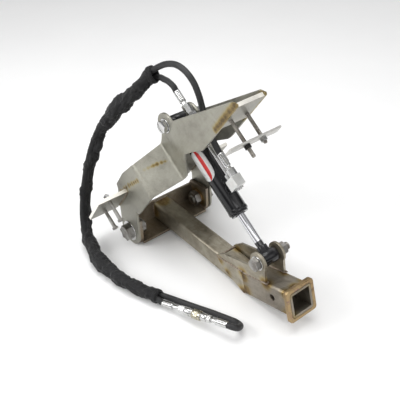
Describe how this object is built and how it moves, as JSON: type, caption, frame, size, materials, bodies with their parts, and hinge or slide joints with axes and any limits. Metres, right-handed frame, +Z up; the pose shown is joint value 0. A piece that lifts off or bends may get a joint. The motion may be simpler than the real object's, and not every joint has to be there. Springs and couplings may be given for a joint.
{
  "type": "hydraulic receiver hitch",
  "caption": "Truck receiver hitch with a hinged arm raised by a hydraulic cylinder, welded clamp-on bracket, square receiver and sleeved hoses with a quick coupler.",
  "frame": {"origin": "centre of the base, on the floor, leaving out the hoses", "axes": "+X from the arm's pivot towards the receiver mouth, +Y to the left, +Z up; the part stands on the pivot ears and the arm's elbow as pictured"},
  "size_m": [0.647, 0.4657, 0.5142],
  "materials": {
    "bare_steel": "raw plate, mottled, heat tint at the welds",
    "brown_steel": "raw tube, brown mill skin with brushed bands",
    "heat_tinted_steel": "golden heat tint",
    "zinc_plate": "bright zinc",
    "bush_bronze": "turned bronze",
    "hose_rubber": "matte",
    "seal_rubber": "matte",
    "sleeve_fabric": "woven nylon",
    "black_paint": "gloss",
    "machined_steel": "turned",
    "rod_chrome": "hard chrome"
  },
  "bodies": {
    "frame": {"side_plate_left": "bare_steel", "side_plate_right": "bare_steel", "front_cross_plate": "bare_steel", "rear_cross_plate": "bare_steel", "wing_left": "bare_steel", "wing_right": "bare_steel", "clamp_bolts": "zinc_plate", "clamp_top_nuts": "zinc_plate", "wing_bolts": "zinc_plate", "wing_nuts": "zinc_plate", "base_pin_bolt": "zinc_plate", "base_pin_nut": "zinc_plate", "base_pin_washers": "zinc_plate", "base_spacers": "zinc_plate", "pivot_bolts": "zinc_plate", "pivot_nuts": "zinc_plate", "pivot_washers": "zinc_plate", "thrust_washers": "zinc_plate", "hose_a": "hose_rubber", "hose_b": "hose_rubber", "hose_sleeve": "sleeve_fabric", "sleeve_ties": "sleeve_fabric", "end_ferrules": "zinc_plate", "coupler_socket": "zinc_plate", "coupler_plug": "zinc_plate"},
    "arm": {"cross_channel": "brown_steel", "channel_ears": "brown_steel", "pivot_bushes": "bush_bronze", "arm_tube": "brown_steel", "receiver_tube": "brown_steel", "receiver_collar": "heat_tinted_steel", "fish_plates": "brown_steel", "clevis_plate_left": "brown_steel", "clevis_plate_right": "brown_steel", "clevis_pin": "zinc_plate", "clevis_nut": "zinc_plate", "clevis_washers": "zinc_plate"},
    "barrel": {"barrel_tube": "black_paint", "base_cap": "black_paint", "base_cross_tube": "black_paint", "gland": "black_paint", "wiper_seal": "seal_rubber", "rod_seal": "seal_rubber", "port_bosses": "black_paint", "base_tee": "zinc_plate", "swivel_nuts": "zinc_plate", "top_ferrules": "zinc_plate", "valve_block": "zinc_plate", "valve_cartridge": "zinc_plate", "pilot_tube": "zinc_plate", "pilot_tube_nuts": "zinc_plate"},
    "rod": {"piston_rod": "rod_chrome", "rod_eye": "black_paint", "piston": "machined_steel", "piston_seal": "seal_rubber", "piston_nut": "zinc_plate"},
    "clamp": {"clamp_bar": "zinc_plate", "clamp_nuts": "zinc_plate"},
    "collar": {"coupler_collar": "zinc_plate"}
  },
  "joints": [
    {"name": "arm_lift", "type": "hinge", "parent": "frame", "child": "arm", "pos_m": [-0.2296, 0, 0.04], "axis": [0, -1, 0], "range_deg": [-8, 15]},
    {"name": "barrel_swing", "type": "hinge", "parent": "frame", "child": "barrel", "pos_m": [-0.13666, 0, 0.3605], "axis": [0, -1, 0], "range_deg": [-6, 11], "deforming": ["hose_a", "hose_b"]},
    {"name": "rod_slide", "type": "slide", "parent": "barrel", "child": "rod", "axis": [0.7962, 0, -0.605], "range_m": [-0.085, 0.046]},
    {"name": "clamp_slide", "type": "slide", "parent": "frame", "child": "clamp", "axis": [-0.7842, 0, 0.6205], "range_m": [-0.004, 0.04]},
    {"name": "coupler_collar_slide", "type": "slide", "parent": "frame", "child": "collar", "axis": [-0.9461, -0.2983, -0.1264], "range_m": [0, 0.006], "stiffness_N_per_m": 1500, "springref_m": -0.004}
  ],
  "couplings": [
    {"joint": "barrel_swing", "follows": "arm_lift", "ratio": 0.70684},
    {"joint": "rod_slide", "follows": "arm_lift", "m_per_rad": -0.31641}
  ]
}
